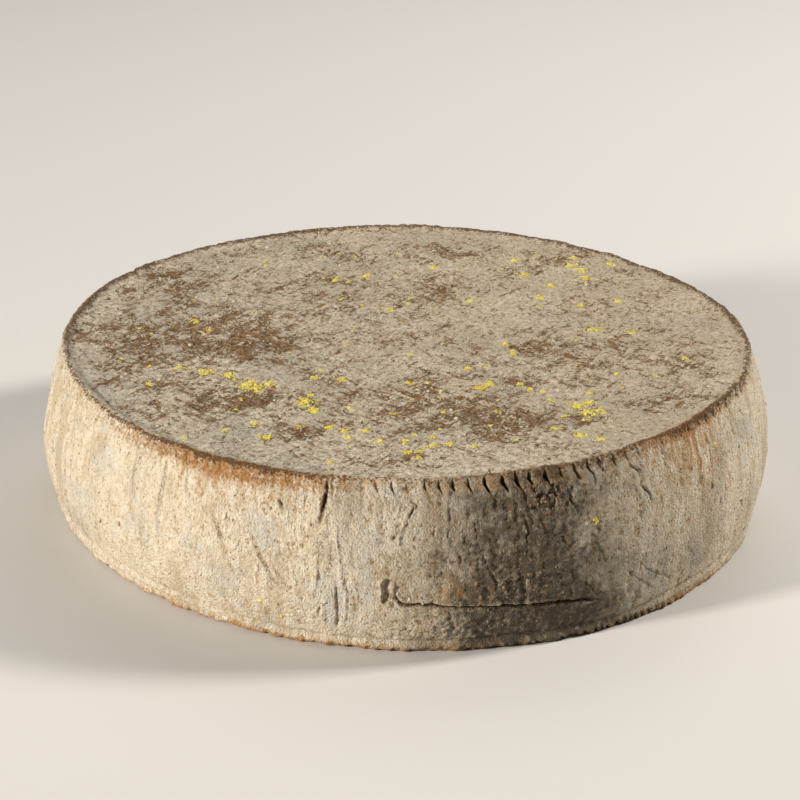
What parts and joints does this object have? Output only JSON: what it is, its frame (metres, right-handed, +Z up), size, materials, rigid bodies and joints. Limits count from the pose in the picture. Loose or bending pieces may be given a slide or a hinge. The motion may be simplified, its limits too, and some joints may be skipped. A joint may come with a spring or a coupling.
{
  "type": "whole wheel of tomme cheese",
  "caption": "Low round wheel of pressed cow's milk cheese with a bulging side, a thin flange round the foot, cloth pleats at the rim and a dry, grey-beige mould-grown rind.",
  "frame": {"origin": "middle of the flat underside that the wheel rests on", "axes": "+Z up through the wheel, -Y towards the side seen in front, +X to the right of that side"},
  "size_m": [0.3215, 0.3213, 0.0789],
  "materials": {
    "rind": "dry, rough, mould-grown cheese rind",
    "yellow_mould": "powdery bright yellow mould colonies on the rind"
  },
  "bodies": {
    "root": {"cheese_wheel": "rind"}
  },
  "joints": []
}
